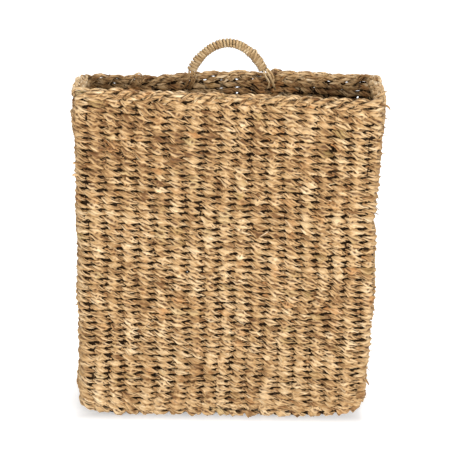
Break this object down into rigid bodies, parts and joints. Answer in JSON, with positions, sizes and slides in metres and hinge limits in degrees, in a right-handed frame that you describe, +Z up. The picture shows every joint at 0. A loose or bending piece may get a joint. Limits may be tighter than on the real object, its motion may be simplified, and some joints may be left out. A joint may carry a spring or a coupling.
{
  "type": "magazine basket",
  "caption": "Upright rectangular twined seagrass basket with flat sides, an open top with a thick rim border, and a wrapped loop handle that tilts at the rear rim.",
  "frame": {"origin": "centre of the footprint, on the floor", "axes": "+Z up, +X to the right seen from the front, front wall faces -Y, handle at the rear rim at +Y"},
  "size_m": [0.3576, 0.1576, 0.4456],
  "materials": {
    "outer_seagrass": "matt dried grass",
    "inner_seagrass": "matt dried grass",
    "stake_seagrass": "matt dried grass",
    "rim_seagrass": "matt dried grass",
    "core_seagrass": "matt dried grass",
    "wrap_seagrass": "smooth matt dried grass",
    "tie_seagrass": "smooth matt dried grass"
  },
  "bodies": {
    "basket": {"outer_weft_1": "outer_seagrass", "outer_weft_2": "outer_seagrass", "outer_weft_3": "outer_seagrass", "outer_weft_4": "outer_seagrass", "outer_weft_5": "outer_seagrass", "outer_weft_6": "outer_seagrass", "inner_weft_1": "inner_seagrass", "inner_weft_2": "inner_seagrass", "inner_weft_3": "inner_seagrass", "inner_weft_4": "inner_seagrass", "inner_weft_5": "inner_seagrass", "inner_weft_6": "inner_seagrass", "base_weft_outer": "outer_seagrass", "base_weft_inner": "inner_seagrass", "cross_stake_01": "stake_seagrass", "cross_stake_02": "stake_seagrass", "cross_stake_03": "stake_seagrass", "cross_stake_04": "stake_seagrass", "cross_stake_05": "stake_seagrass", "cross_stake_06": "stake_seagrass", "cross_stake_07": "stake_seagrass", "cross_stake_08": "stake_seagrass", "cross_stake_09": "stake_seagrass", "cross_stake_10": "stake_seagrass", "cross_stake_11": "stake_seagrass", "cross_stake_12": "stake_seagrass", "cross_stake_13": "stake_seagrass", "cross_stake_14": "stake_seagrass", "cross_stake_15": "stake_seagrass", "cross_stake_16": "stake_seagrass", "cross_stake_17": "stake_seagrass", "side_stake_1": "stake_seagrass", "side_stake_2": "stake_seagrass", "side_stake_3": "stake_seagrass", "side_stake_4": "stake_seagrass", "side_stake_5": "stake_seagrass", "side_stake_6": "stake_seagrass", "side_stake_7": "stake_seagrass", "corner_stake_front_left": "stake_seagrass", "corner_stake_front_right": "stake_seagrass", "corner_stake_rear_left": "stake_seagrass", "corner_stake_rear_right": "stake_seagrass", "rim_border": "rim_seagrass", "handle_tie_left": "tie_seagrass", "handle_tie_right": "tie_seagrass"},
    "handle": {"handle_core": "core_seagrass", "handle_wrap": "wrap_seagrass"}
  },
  "joints": [
    {"name": "handle_tilt", "type": "hinge", "parent": "basket", "child": "handle", "pos_m": [0, 0.0629, 0.406], "axis": [1, 0, 0], "range_deg": [-60, 75]}
  ]
}
